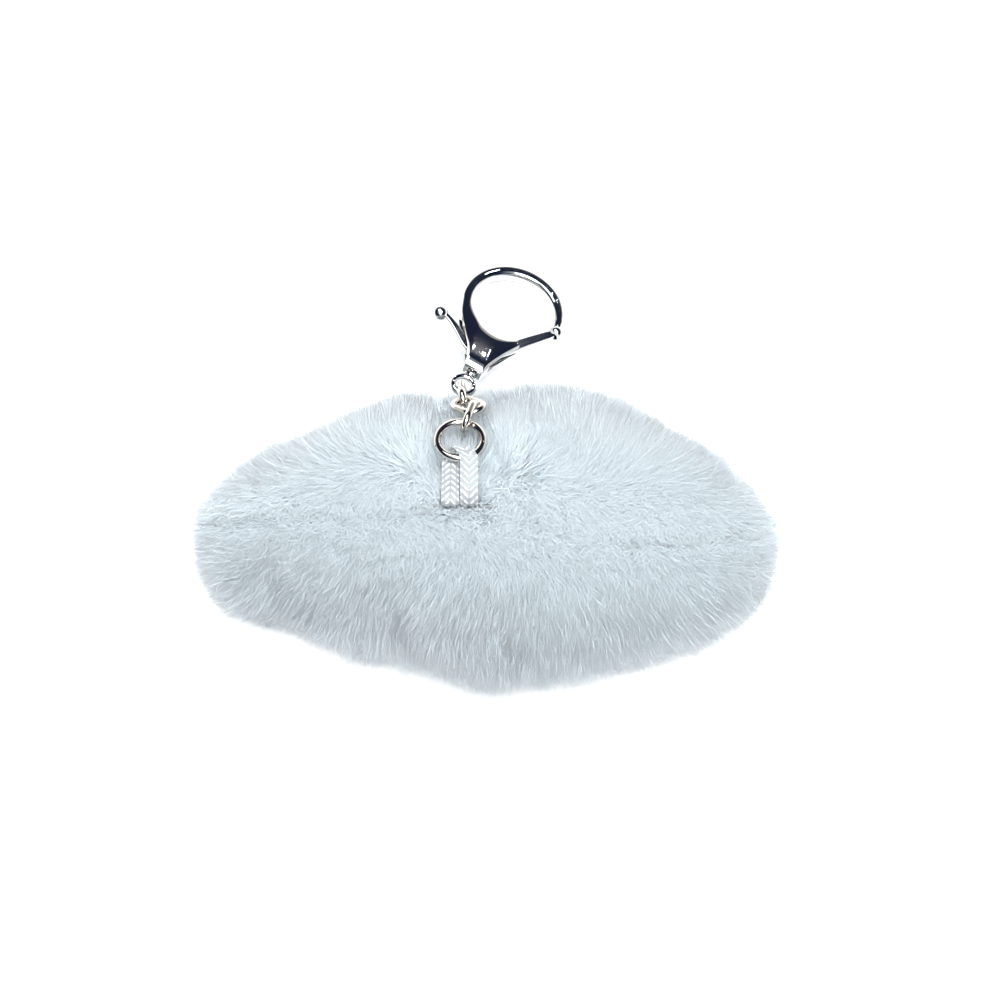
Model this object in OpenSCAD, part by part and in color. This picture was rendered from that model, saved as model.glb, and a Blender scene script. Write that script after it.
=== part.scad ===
// Furry cloud-shaped plush on a woven ribbon loop, with a jump ring, a short chain and a swivel lobster clasp.
// Millimetres, +Z up. The origin is the middle of the flat underside that the plush lies on.
// The plush is long in X. The chain hangs over its rear (+Y) edge, and the clasp leans on the ground behind it.

/* [Plush] */
// Height of the crown over the ground
crown_z = 36; // [35.5:0.1:36.5]
// Height at which the plush is widest
waist_z = 11; // [10:0.5:12]
// Thickness of a fur panel, backing and pile together
fur_t = 7; // [6:0.5:8]
// Share of the radius that the flat underside keeps
sole_share = 0.74; // [0.7:0.01:0.8]
// Gap between panels in which a seam's thread runs
seam_gap = 1.0; // [0.9:0.05:1.2]
// Share of its depth that the fur keeps under the ribbon, ring and chain
press_share = 0.85; // [0.84:0.01:0.87]

/* [Ribbon] */
// Width of the woven ribbon
ribbon_w = 3.8; // [3.4:0.1:4]
// Thickness of the woven ribbon
ribbon_t = 0.6; // [0.5:0.05:0.7]
// Distance between the middles of the ribbon's two legs
leg_gap = 4.0; // [3.9:0.05:4.2]
// Radius of the ribbon's fold round the jump ring, to the middle of its thickness
fold_r = 2.3; // [2.25:0.05:2.45]

/* [Jump ring and chain] */
// Outer diameter of the jump ring
ring_od = 11.5; // [11.3:0.1:11.7]
// Wire diameter of the jump ring
ring_wire = 1.65; // [1.5:0.05:1.7]
// Outer length of a chain link
link_l = 9.0; // [8.9:0.05:9.1]
// Outer width of a chain link
link_w = 6.2; // [6:0.1:6.3]
// Wire diameter of a chain link
link_wire = 1.7; // [1.6:0.05:1.7]
// Play left between hooked wires
play = 0.12; // [0.08:0.01:0.15]

/* [Clasp] */
// Outer radius of the clasp's ring
hook_or = 12.2; // [12:0.1:12.4]
// Inner radius of the clasp's ring
hook_ir = 9.4; // [9.2:0.1:9.6]
// Thickness of the clasp's ring
hook_t = 3.2; // [3:0.1:3.4]
// Distance from the clasp's base to the middle of its ring
hook_v = 21; // [20.8:0.1:21.2]
// Thickness of the clasp's body over the lever
body_t = 4.8; // [4.6:0.1:5]
// Thickness of the trigger lever
lever_t = 2.0; // [1.8:0.1:2]
// Diameter of the trigger's pivot pin
pin_d = 1.5; // [1.4:0.05:1.5]

/* [Hidden] */
$fn = 48;

// ---- small vector helpers ----
function unit(v) = v / norm(v);
function heading(yaw, pitch) = [cos(pitch) * sin(yaw), cos(pitch) * cos(yaw), sin(pitch)];
function across(v, n) = unit(v - (v * n) * n);
function mix(a, b, t) = a + (b - a) * t;
function smooth(t) = let(c = min(1, max(0, t))) c * c * (3 - 2 * c);
module frame_at(o, ex, ey, ez)
  multmatrix([[ex.x, ey.x, ez.x, o.x], [ex.y, ey.y, ez.y, o.y], [ex.z, ey.z, ez.z, o.z], [0, 0, 0, 1]])
    children();

// ---- the plush's outline: radius every 15 degrees from +X, anticlockwise ----
outline = [62.5, 54.5, 45, 40.5, 36.5, 33, 32, 32.5, 35, 39, 44.5, 57.5,
  65.5, 62.5, 47, 40.5, 34.5, 34.5, 35, 35.5, 38, 43, 52.5, 61.5];
outline_n = len(outline);
function knot(i) = outline[(i + 10 * outline_n) % outline_n];
function edge_r(a) =
  let(p = a / 360 * outline_n, i = floor(p), t = p - i,
    k0 = knot(i - 1), k1 = knot(i), k2 = knot(i + 1), k3 = knot(i + 2))
  k1 + 0.5 * t * (k2 - k0 + t * (2 * k0 - 5 * k1 + 4 * k2 - k3 + t * (3 * (k1 - k2) + k3 - k0)));
function edge_xy(a, r_off = 0) = (edge_r(a) + r_off) * [cos(a), sin(a)];

// ---- the upper half: stations run along the spine, and each profile is a quarter ellipse down to the edge ----
stations = 32;
profile_n = 8;
end_margin = 0.02;
root_y = 2.8;
crown = crown_z - waist_z - seam_gap / 2;
press_x = -6.2;
press_flat = 6.5;
press_fade = 7;
press_from_y = 3;
press_full_y = 12;
press_rise = 0.3;
function spine_x(t) = mix(-edge_r(180), edge_r(0), (1 - cos(180 * t)) / 2);
function spine_y(x) = root_y - 6.5 * smooth((x + 2) / 30);
function end_fade(t) = sqrt(max(0, 1 - pow(abs(cos(180 * t)), 2.6)));
function pressed(x, y) = 1 - (1 - press_share) * (1 - smooth((abs(x - press_x) - press_flat) / press_fade))
  * smooth((y - press_from_y) / (press_full_y - press_from_y));
function station(j) = mix(end_margin, 1 - end_margin, j / stations);
// side is -1 for the front panel and 1 for the rear one. i runs from 0 at the spine to profile_n at the edge.
function upper_point(side, t, i, inset) =
  let(a = 90 - 90 * i / profile_n,
    sx = spine_x(t), s = [sx * 0.985, spine_y(sx) * sin(180 * t) + side * seam_gap / 2],
    e = edge_xy(180 - side * 180 * t, -inset), c = cos(a),
    xy = mix(s, e, c), k = side < 0 ? 1 : mix(1, pressed(xy.x, xy.y), smooth(sin(a) / press_rise)),
    y = root_y + (xy.y - root_y) * k, rise = max(0.3, (crown - inset) * end_fade(t) * sin(a) * k))
  [xy.x, side > 0 ? max(y, s.y) : min(y, s.y), waist_z + seam_gap / 2 + (a > 0 ? rise : 0)];

// A closed shell between an outer and an inner grid of (rows + 1) x (cols + 1) points.
module shell_grid(outer, inner, rows, cols, flip) {
  w = cols + 1;
  m = (rows + 1) * w;
  function at(r, c) = r * w + c;
  top = [for (r = [0:rows - 1], c = [0:cols - 1]) each
    [[at(r, c), at(r + 1, c), at(r + 1, c + 1)], [at(r, c), at(r + 1, c + 1), at(r, c + 1)]]];
  under = [for (f = top) [m + f[0], m + f[2], m + f[1]]];
  rim = concat([for (r = [0:rows]) at(r, 0)], [for (c = [1:cols]) at(rows, c)],
    [for (r = [rows - 1:-1:0]) at(r, cols)], [for (c = [cols - 1:-1:1]) at(0, c)]);
  n = len(rim);
  wall = [for (i = [0:n - 1]) let(a = rim[i], b = rim[(i + 1) % n]) each
    [[b, a, m + a], [b, m + a, m + b]]];
  faces = concat(top, under, wall);
  polyhedron(concat(outer, inner), flip ? [for (f = faces) [f[0], f[2], f[1]]] : faces);
}
module upper_panel(side) {
  function layer(inset) = [for (j = [0:stations], i = [0:profile_n]) upper_point(side, station(j), i, inset)];
  shell_grid(layer(0), layer(fur_t), stations, profile_n, side > 0);
}
module top_front_panel() color("whitesmoke") upper_panel(-1);
module top_rear_panel() color("white") upper_panel(1);

// ---- the base panel: the edge rolls under to the flat sole ----
base_n = 48;
base_rows = 4;
function base_point(a, i, inset) =
  let(f = 90 * i / base_rows, r = (edge_r(a) - inset) * mix(sole_share, 1, cos(f)))
  [r * cos(a), r * sin(a), (waist_z - seam_gap / 2 - inset) * (1 - sin(f)) + inset * min(1, i)];
module base_panel() {
  function ring(i, inset) = [for (j = [0:base_n - 1]) base_point(360 * j / base_n, i, inset)];
  outer = [for (i = [0:base_rows]) each ring(i, 0)];
  top_z = waist_z - seam_gap / 2;
  inner = [for (i = [0:base_rows]) each [for (p = ring(i, fur_t)) [p.x, p.y,
    mix(top_z, fur_t, i / base_rows)]]];
  m = len(outer);
  function skin(o) = [for (i = [0:base_rows - 1], j = [0:base_n - 1]) let(k = (j + 1) % base_n,
    a = o + i * base_n + j, b = o + i * base_n + k, c = a + base_n, d = b + base_n) each [[a, b, d], [a, d, c]]];
  rim = [for (j = [0:base_n - 1]) let(k = (j + 1) % base_n) each [[j, m + j, m + k], [j, m + k, k]]];
  sole = [[for (j = [base_n - 1:-1:0]) base_rows * base_n + j]];
  lining = [[for (j = [0:base_n - 1]) m + base_rows * base_n + j]];
  faces = concat([for (f = skin(0)) [f[0], f[2], f[1]]], skin(m), [for (f = rim) [f[0], f[2], f[1]]], sole, lining);
  color("gainsboro") polyhedron(concat(outer, inner), [for (f = faces) [for (i = [len(f) - 1:-1:0]) f[i]]]);
}

// ---- the stuffing: a plain pillow inside the panels ----
fill_gap = 0.6;
fill_rows = 4;
fill_n = 32;
fill_top = crown - fur_t - 5;
module stuffing() {
  inset = fur_t + 3;
  low = fur_t + fill_gap;
  function ring(i) = let(f = 78 * i / fill_rows) [for (j = [0:fill_n - 1]) let(a = 360 * j / fill_n,
    r = (edge_r(a) - inset) * 0.86 * cos(f)) [r * cos(a), r * sin(a) - 1, waist_z + fill_top * sin(f)]];
  floor_ring = [for (j = [0:fill_n - 1]) let(a = 360 * j / fill_n, r = (edge_r(a) - inset) * 0.72)
    [r * cos(a), r * sin(a), low]];
  points = concat(floor_ring, [for (i = [0:fill_rows]) each ring(i)]);
  rows = fill_rows + 1;
  sides = [for (i = [0:rows - 1], j = [0:fill_n - 1]) let(k = (j + 1) % fill_n, a = i * fill_n + j,
    b = i * fill_n + k, c = a + fill_n, d = b + fill_n) each [[a, d, b], [a, c, d]]];
  color("ivory") polyhedron(points, concat(sides, [[for (j = [0:fill_n - 1]) j]],
    [[for (j = [fill_n - 1:-1:0]) rows * fill_n + j]]));
}

// ---- threads: a round tube swept along points ----
thread_d = 0.7;
tube_sides = 6;
module thread(path, d) {
  n = len(path);
  function along(i) = unit(path[min(n - 1, i + 1)] - path[max(0, i - 1)]);
  rings = [for (i = [0:n - 1]) let(t = along(i), u = across(abs(t.z) > 0.9 ? [1, 0, 0] : [0, 0, 1], t), v = cross(t, u))
    each [for (k = [0:tube_sides - 1]) let(a = 360 * k / tube_sides) path[i] + d / 2 * (cos(a) * u + sin(a) * v)]];
  sides = [for (i = [0:n - 2], k = [0:tube_sides - 1]) let(l = (k + 1) % tube_sides, a = i * tube_sides + k,
    b = i * tube_sides + l, c = a + tube_sides, e = b + tube_sides) each [[a, b, e], [a, e, c]]];
  color("white") polyhedron(rings, concat([for (f = sides) [f[0], f[2], f[1]]],
    [[for (k = [0:tube_sides - 1]) k]], [[for (k = [tube_sides - 1:-1:0]) (n - 1) * tube_sides + k]]));
}
// The spine seam's thread stops on both sides of the ribbon.
spine_depth = 2;
function spine_path(t0, t1, n) = [for (i = [0:n]) let(t = mix(t0, t1, i / n), x = spine_x(t))
  [x * 0.985, spine_y(x) * sin(180 * t), waist_z + max(1.5, crown * end_fade(t) - spine_depth)]];
module spine_seam_thread() {
  thread(spine_path(0.06, 0.40, 18), thread_d);
  thread(spine_path(0.51, 0.94, 22), thread_d);
}
edge_inset = 2.5;
closing_from = 250;
closing_to = 285;
function edge_path(a0, a1, n, amp) = [for (i = [0:n]) let(a = mix(a0, a1, i / n),
  p = edge_xy(a, -edge_inset - amp * (i % 2))) [p.x, p.y, waist_z]];
module edge_seam_thread() thread(edge_path(closing_to + 2, closing_from + 358, 72, 0), thread_d);
// The turning gap is closed by hand with a ladder stitch.
module closing_stitches() thread(edge_path(closing_from, closing_to, 18, 1.6), thread_d);

// ---- ribbon ----
ring_pitch = 30;
ring_r = (ring_od - ring_wire) / 2;
ring_c = [-6.8, 17.0, 32.55];
ring_far = [0, cos(ring_pitch), -sin(ring_pitch)];
ring_up = [0, sin(ring_pitch), cos(ring_pitch)];
ring_near = ring_c - ring_r * ring_far;
ribbon_axis_z = crown_z + 0.5;
tail_l = 10;
tail_top = crown_z + 0.1;
leg_x = [ring_c.x - leg_gap / 2, ring_c.x + leg_gap / 2];
function hermite(a, ta, b, tb, t) = (1 + t * t * (2 * t - 3)) * a + t * (1 + t * (t - 2)) * ta
  + t * t * (3 - 2 * t) * b + t * t * (t - 1) * tb;
leg_n = 6;
fold_n = 10;
lower_leg = [for (i = [0:leg_n - 1]) hermite([leg_x[0], root_y, ribbon_axis_z], [0, 5, 5],
  [leg_x[0], ring_near.y, ring_near.z - fold_r], [0, 9, -2], i / leg_n)];
fold = [for (i = [0:fold_n]) let(f = -90 + 180 * i / fold_n)
  [mix(leg_x[0], leg_x[1], i / fold_n), ring_near.y + fold_r * cos(f), ring_near.z + fold_r * sin(f)]];
upper_leg = [for (i = [1:leg_n]) hermite([leg_x[1], ring_near.y, ring_near.z + fold_r], [0, -9, 0],
  [leg_x[1], root_y, ribbon_axis_z], [0, -5, -6], i / leg_n)];
ribbon_path = concat(lower_leg, fold, upper_leg);
module ribbon_loop() {
  n = len(ribbon_path);
  function along(i) = ribbon_path[min(n - 1, i + 1)] - ribbon_path[max(0, i - 1)];
  points = [for (i = [0:n - 1]) let(t = unit([0, along(i).y, along(i).z]), u = [0, -t.z, t.y] * ribbon_t / 2,
    w = [ribbon_w / 2, 0, 0], p = ribbon_path[i]) each [p - w - u, p + w - u, p + w + u, p - w + u]];
  sides = [for (i = [0:n - 2], k = [0:3]) let(l = (k + 1) % 4, a = 4 * i + k, b = 4 * i + l) each
    [[a, b, b + 4], [a, b + 4, a + 4]]];
  color("white") polyhedron(points, concat(sides, [[3, 2, 1, 0]], [[for (k = [0:3]) 4 * (n - 1) + k]]));
}
module ribbon_tails() color("white") for (x = leg_x)
  translate([x - ribbon_w / 2, root_y - ribbon_t / 2, tail_top - tail_l]) cube([ribbon_w, ribbon_t, tail_l]);
// Bars of thread sewn across both tails, in front and behind.
tack_d = 0.4;
tack_bars = 3;
module ribbon_bar_tack() color("white") for (i = [0:tack_bars - 1], s = [-1, 1])
  translate([leg_x[0] - ribbon_w / 2, root_y + s * (ribbon_t + tack_d) / 2, tail_top - tail_l + 0.4 + i * 0.6])
    rotate([0, 90, 0]) cylinder(h = leg_gap + ribbon_w, d = tack_d, $fn = 16);

// ---- jump ring ----
slit = 0.15;
slit_angle = 200;
module jump_ring() color("silver") frame_at(ring_c, [1, 0, 0], ring_far, ring_up) difference() {
  rotate_extrude() translate([ring_r, 0]) circle(d = ring_wire, $fn = 32);
  rotate(slit_angle) translate([ring_r, 0, 0]) cube([ring_wire + 1, slit, ring_wire + 1], center = true);
}

// ---- chain: each link is placed from the wire that it hooks ----
link_half = link_l / 2;
link_arc = (link_w - link_wire) / 2;
hook_angle = 75;
ring_hook = ring_c + ring_r * (cos(hook_angle) * [1, 0, 0] + sin(hook_angle) * ring_far);
ring_tangent = -sin(hook_angle) * [1, 0, 0] + cos(hook_angle) * ring_far;
hold = link_half - link_wire - play;
dir_1 = heading(19, -34);
mid_1 = ring_hook + (hold - ring_wire / 2) * dir_1;
normal_1 = unit(cross(dir_1, [0, 0, 1]));
wide_1 = cross(normal_1, dir_1);
end_1 = mid_1 + (link_half - link_wire / 2) * dir_1;
// The lower two links lie slack over the edge, each a quarter turn to the last. Their places leave every wire free.
mid_2 = end_1 + [-1.105, 0.185, -1.512];
dir_2 = heading(-62.1, -41.4);
normal_2 = across(heading(-13, 36.6), dir_2);
mid_3 = mid_2 + [-1.13, 2.693, -4.284];
dir_3 = heading(-3.6, -58.3);
normal_3 = across(heading(-100.6, -4.3), dir_3);
eye_hook = mid_3 + [-0.068, 0.961, -1.603];
module oval_link(mid, dir, normal) {
  straight = link_l - link_w;
  color("silver") frame_at(mid, dir, cross(normal, dir), normal) {
    for (s = [0, 180]) rotate(s) {
      translate([straight / 2, 0, 0]) rotate(-90) rotate_extrude(angle = 180)
        translate([link_arc, 0]) circle(d = link_wire, $fn = 32);
      translate([-straight / 2, link_arc, 0]) rotate([0, 90, 0]) cylinder(h = straight, d = link_wire, $fn = 32);
    }
  }
}
module chain_link_1() oval_link(mid_1, dir_1, normal_1);
module chain_link_2() oval_link(mid_2, dir_2, normal_2);
module chain_link_3() oval_link(mid_3, dir_3, normal_3);

// ---- clasp frame: X across, Y from the base to the ring, Z out of its face ----
eye_wire = 1.4;
eye_r = 2.35;
eye_v = -4;
clasp_yaw = 30;
clasp_lean = 28.5;
clasp_across = [cos(clasp_yaw), -sin(clasp_yaw), 0];
clasp_along = heading(clasp_yaw, -clasp_lean);
clasp_face = cross(clasp_across, clasp_along);
eye_out = unit(0.5 * clasp_across - clasp_along);
clasp_base = eye_hook - eye_r * eye_out - eye_v * clasp_along;
module in_clasp() frame_at(clasp_base, clasp_across, clasp_along, clasp_face) children();

// ---- swivel eye: a wire eye whose stem is riveted inside the clasp's base ----
stem_r = 0.75;
stem_end = 2.7;
collar_r = 1.35;
collar_l = 0.8;
rivet_r = 1.3;
rivet_l = 0.65;
swivel_gap = 0.15;
module swivel_eye() color("silver") in_clasp() {
  translate([0, eye_v, 0]) rotate_extrude() translate([eye_r, 0]) circle(d = eye_wire, $fn = 32);
  translate([0, eye_v + eye_r, 0]) rotate([-90, 0, 0]) cylinder(h = stem_end - eye_v - eye_r, r = stem_r);
  translate([0, -swivel_gap - collar_l, 0]) rotate([-90, 0, 0]) cylinder(h = collar_l, r = collar_r);
  translate([0, stem_end - rivet_l, 0]) rotate([-90, 0, 0]) cylinder(h = rivet_l, r = rivet_r);
}

// ---- clasp body: hollow triangular body that carries the hook ----
pivot = [0.3, 5.2];
slot_t = lever_t + 0.3;
bead_angle = 4;
hook_mid = (hook_or + hook_ir) / 2;
bead_r = (hook_or - hook_ir) / 2 + 0.2;
bead = [(hook_mid + 0.2) * cos(bead_angle), hook_v + (hook_mid + 0.2) * sin(bead_angle)];
chamfer = 0.8;
function from_pivot(r, a) = pivot + r * [cos(a), sin(a)];
module hook_section() polygon([[hook_ir, -hook_t / 2 + chamfer], [hook_ir + chamfer, -hook_t / 2],
  [hook_or - chamfer, -hook_t / 2], [hook_or, -hook_t / 2 + chamfer], [hook_or, hook_t / 2 - chamfer],
  [hook_or - chamfer, hook_t / 2], [hook_ir + chamfer, hook_t / 2], [hook_ir, hook_t / 2 - chamfer]]);
module clasp_body() color("silver") in_clasp() {
  translate([0, hook_v, 0]) rotate(bead_angle) rotate_extrude(angle = 214 - bead_angle) hook_section();
  translate([bead.x, bead.y, 0]) sphere(r = bead_r);
  difference() {
    intersection() {
      linear_extrude(body_t, center = true) difference() {
        polygon([[-2.1, 0], [2.1, 0], [2.3, 1.6], [5.9, 11.8], [4.7, 13.4], [-7, 16], [-10.2, 17.9], [-11.74, 17.7],
          [-2.3, 1.6]]);
        translate([0, hook_v]) circle(r = hook_ir);
      }
      rotate([90, 0, 90]) linear_extrude(60, center = true) polygon([[-1, -1.9], [2.5, -body_t / 2],
        [9, -body_t / 2], [18, -hook_t / 2], [18, hook_t / 2], [9, body_t / 2], [2.5, body_t / 2], [-1, 1.9]]);
    }
    linear_extrude(slot_t, center = true) {
      translate(pivot) circle(r = 2.35);
      polygon([pivot, from_pivot(3.6, -40), from_pivot(7, 36), from_pivot(20, 50), from_pivot(20, 90)]);
      polygon([pivot, from_pivot(20, 144), from_pivot(14, 180), from_pivot(5, 218), from_pivot(2.6, 238)]);
    }
    translate([pivot.x, pivot.y, 0]) cylinder(h = body_t + 1, d = pin_d, center = true);
    translate([0, -1, 0]) rotate([-90, 0, 0]) cylinder(h = 4, r = stem_r + 0.08);
    translate([0, stem_end - rivet_l - swivel_gap, 0]) rotate([-90, 0, 0])
      cylinder(h = rivet_l + 3 * swivel_gap, r = rivet_r + swivel_gap);
  }
}

// ---- trigger: a V lever whose long arm is the gate ----
ball = [-13.4, 10.3];
ball_r = 1.85;
coil_r = 1.6;
coil_depth = 1.0;
rest_gap = 0.4;
leg_angle = 118;
module trigger_lever() color("silver") in_clasp() difference() {
  union() {
    linear_extrude(lever_t, center = true) {
      translate(pivot) circle(r = 2.1);
      polygon([[1.0, 7.1], [3.9, 13.0], [9.5, 20.9], [11.4, 20.2], [5.7, 11.5], [2.3, 5.0], pivot]);
      polygon([pivot, [-1.5, 6.3], [-4.5, 7.4], [-8, 9.4], [-11, 10.7], [-13.4, 11.2], [-13.4, 9.4], [-11.6, 8.9],
        [-8.9, 7.4], [-5.4, 4.9], [-1.2, 3.8]]);
    }
    translate([ball.x, ball.y, 0]) sphere(r = ball_r);
  }
  translate([bead.x, bead.y, 0]) sphere(r = bead_r + rest_gap);
  translate([pivot.x, pivot.y, 0]) cylinder(h = lever_t + 1, d = pin_d + 0.12, center = true);
  translate([pivot.x, pivot.y, -lever_t / 2 - 1]) cylinder(h = coil_depth + 1, r = coil_r);
  translate([0, 0, -lever_t / 2 - 1]) linear_extrude(coil_depth + 1)
    polygon([pivot, from_pivot(3.2, leg_angle - 32), from_pivot(3.2, leg_angle + 8)]);
}
module trigger_pin() color("gainsboro") in_clasp() translate([pivot.x, pivot.y, 0])
  cylinder(h = body_t, d = pin_d, center = true);

// ---- torsion spring round the pin, in the recess behind the lever's hub ----
spring_wire = 0.3;
spring_r = 1.2;
spring_turns = 1.75;
module trigger_spring() {
  n = 28;
  rise = 0.75 - spring_wire;
  coil = [for (i = [0:n]) let(a = leg_angle + 360 * spring_turns * (1 - i / n))
    [pivot.x + spring_r * cos(a), pivot.y + spring_r * sin(a), -lever_t / 2 + 0.2 + spring_wire / 2 + rise * (1 - i / n)]];
  tip = concat(from_pivot(2.2, leg_angle), [coil[n].z]);
  in_clasp() thread(concat(coil, [tip]), spring_wire);
}

top_front_panel();
top_rear_panel();
base_panel();
stuffing();
spine_seam_thread();
edge_seam_thread();
closing_stitches();
ribbon_tails();
ribbon_bar_tack();
ribbon_loop();
jump_ring();
chain_link_1();
chain_link_2();
chain_link_3();
swivel_eye();
clasp_body();
trigger_lever();
trigger_pin();
trigger_spring();
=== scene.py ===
"""A furry cloud-shaped plush keychain: its fur, woven ribbon, jump ring, chain and swivel clasp.

Every shape is worked out in millimetres in the CAD part's own frame, and put into meshes in metres.
"""

import math

import bpy
import numpy as np
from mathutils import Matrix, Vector


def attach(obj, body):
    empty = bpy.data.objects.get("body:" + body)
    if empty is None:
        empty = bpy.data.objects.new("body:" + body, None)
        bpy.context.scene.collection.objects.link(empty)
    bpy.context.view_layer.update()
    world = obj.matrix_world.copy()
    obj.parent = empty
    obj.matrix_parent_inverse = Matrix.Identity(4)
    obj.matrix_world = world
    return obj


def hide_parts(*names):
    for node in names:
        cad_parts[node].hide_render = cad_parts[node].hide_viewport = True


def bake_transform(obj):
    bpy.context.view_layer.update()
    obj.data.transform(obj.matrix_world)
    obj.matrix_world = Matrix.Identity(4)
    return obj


bl_info = {
    "name": "Plush Keychain",
    "version": (1, 0, 0),
    "blender": (4, 5, 0),
    "location": "3D View > Sidebar > Plush Keychain",
    "description": "Builds the fur, ribbon and polished findings of a plush keychain round its CAD frame",
    "category": "Object",
}

MM = 0.001
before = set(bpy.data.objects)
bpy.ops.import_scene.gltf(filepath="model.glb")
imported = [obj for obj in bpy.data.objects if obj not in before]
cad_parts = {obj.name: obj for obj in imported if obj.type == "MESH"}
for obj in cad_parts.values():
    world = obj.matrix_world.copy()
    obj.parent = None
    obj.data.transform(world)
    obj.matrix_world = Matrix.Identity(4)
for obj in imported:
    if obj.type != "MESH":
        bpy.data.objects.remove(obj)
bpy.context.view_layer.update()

# The plush, as in the CAD source.
OUTLINE = np.array([62.5, 54.5, 45, 40.5, 36.5, 33, 32, 32.5, 35, 39, 44.5, 57.5,
                    65.5, 62.5, 47, 40.5, 34.5, 34.5, 35, 35.5, 38, 43, 52.5, 61.5])
SEAM_GAP = 1.0
WAIST_Z = 11.0
CROWN = 36.0 - WAIST_Z - SEAM_GAP / 2
SOLE_SHARE = 0.74
ROOT_Y = 2.8
PRESS_X, PRESS_FLAT, PRESS_FADE, PRESS_SHARE = -6.2, 6.5, 7.0, 0.85
PRESS_FROM_Y, PRESS_FULL_Y, PRESS_RISE = 3.0, 12.0, 0.3
PILE = 4.5  # how far the panels' backing lies under the pressed top of the fur
BACKING = 0.9

# The ribbon, as in the CAD source.
RIBBON_X = np.array([-8.8, -4.8])
RIBBON_TOP = 36.5
RIBBON_W, RIBBON_T = 3.8, 0.6
RIBBON_TAIL = 10.0
RING_NEAR = np.array([-6.8, 12.7348, 35.0125])
FOLD_R = 2.3


# ---------------------------------------------------------------- numbers

def mix(a, b, t):
    """Straight blend from a to b."""
    return a + (b - a) * t


def smooth(t):
    """Three t squared less two t cubed, with t held between 0 and 1."""
    t = np.clip(t, 0.0, 1.0)
    return t * t * (3 - 2 * t)


def unit(v):
    """Vectors over their own lengths."""
    return v / np.maximum(np.linalg.norm(v, axis=-1, keepdims=True), 1e-9)


def soft_noise(p, scale, seed):
    """Eight sine waves in random directions through the points, added up: about -1 to 1, and smooth over
    the scale in mm.
    """
    rng = np.random.default_rng(seed)
    waves = unit(rng.normal(size=(8, 3))) * (2 * np.pi / scale) * rng.uniform(0.6, 1.4, (8, 1))
    phases = rng.uniform(0, 2 * np.pi, 8)
    return np.sin(p @ waves.T + phases).sum(-1) / 4.0


def edge_radius(a):
    """The outline's radius at angle a: a Catmull-Rom curve through its knots, one every 15 degrees."""
    p = np.mod(a / (2 * np.pi), 1.0) * len(OUTLINE)
    i = np.floor(p).astype(int)
    t = p - i
    k0, k1, k2, k3 = (OUTLINE[(i + n) % len(OUTLINE)] for n in (-1, 0, 1, 2))
    return k1 + 0.5 * t * (k2 - k0 + t * (2 * k0 - 5 * k1 + 4 * k2 - k3 + t * (3 * (k1 - k2) + k3 - k0)))


def spine_y(x):
    """The top seam's wander: straight on the left, then an easy step to the front."""
    return ROOT_Y - 6.5 * smooth((x + 2) / 30)


def pressed(x, y):
    """The share of its height that the fur keeps under the ribbon, ring and chain: a flat-bottomed valley."""
    return 1 - (1 - PRESS_SHARE) * (1 - smooth((np.abs(x - PRESS_X) - PRESS_FLAT) / PRESS_FADE)) \
        * smooth((y - PRESS_FROM_Y) / (PRESS_FULL_Y - PRESS_FROM_Y))


def upper_point(side, t, i, inset):
    """The plush's upper half: t runs along the top seam and i from the seam, 0, to the edge, 1.

    Across, it is a quarter ellipse from the seam down to the outline, and its height fades to the ends as
    the root of one less the 2.6th power of the distance along. side is -1 in front and 1 behind.
    """
    a = (1 - i) * np.pi / 2
    sx = mix(-edge_radius(np.pi), edge_radius(0.0), (1 - np.cos(np.pi * t)) / 2)
    sy = spine_y(sx) * np.sin(np.pi * t) + side * SEAM_GAP / 2
    at = np.pi - side * np.pi * t
    r = edge_radius(at) - inset
    c = np.cos(a)
    x, y = mix(sx * 0.985, r * np.cos(at), c), mix(sy, r * np.sin(at), c)
    k = mix(1.0, pressed(x, y), smooth(np.sin(a) / PRESS_RISE)) if side > 0 else 1.0
    fade = np.sqrt(np.maximum(0.0, 1 - np.abs(np.cos(np.pi * t)) ** 2.6))
    z = WAIST_Z + SEAM_GAP / 2 + np.maximum(0.0, (CROWN - inset) * fade * np.sin(a) * k)
    y = ROOT_Y + (y - ROOT_Y) * k
    return np.stack([x, y, z], -1)


def base_point(a, f, inset):
    """The plush's lower half: f runs from the edge, 0, to the sole's rim, 1, and on to its middle, 2.

    The radius eases from the outline to the sole's share of it as a quarter of a cosine, while the height
    falls from the waist as one less the sine.
    """
    q = np.minimum(f, 1.0) * np.pi / 2
    r = (edge_radius(a) - inset) * mix(SOLE_SHARE, 1.0, np.cos(q)) * np.clip(2 - f, 0.0, 1.0)
    floor = 0.3 * inset
    z = mix(floor, WAIST_Z - SEAM_GAP / 2, 1 - np.sin(q))
    return np.stack([r * np.cos(a), r * np.sin(a), z], -1)


def slopes(surface, u, v, step=1e-3):
    """A surface's two edge vectors at u, v, by small differences, and the normal that is their cross product."""
    du = (surface(u + step, v) - surface(u - step, v)) / (2 * step)
    dv = (surface(u, v + step) - surface(u, v - step)) / (2 * step)
    return du, dv, unit(np.cross(du, dv))


# ---------------------------------------------------------------- meshes

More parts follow.
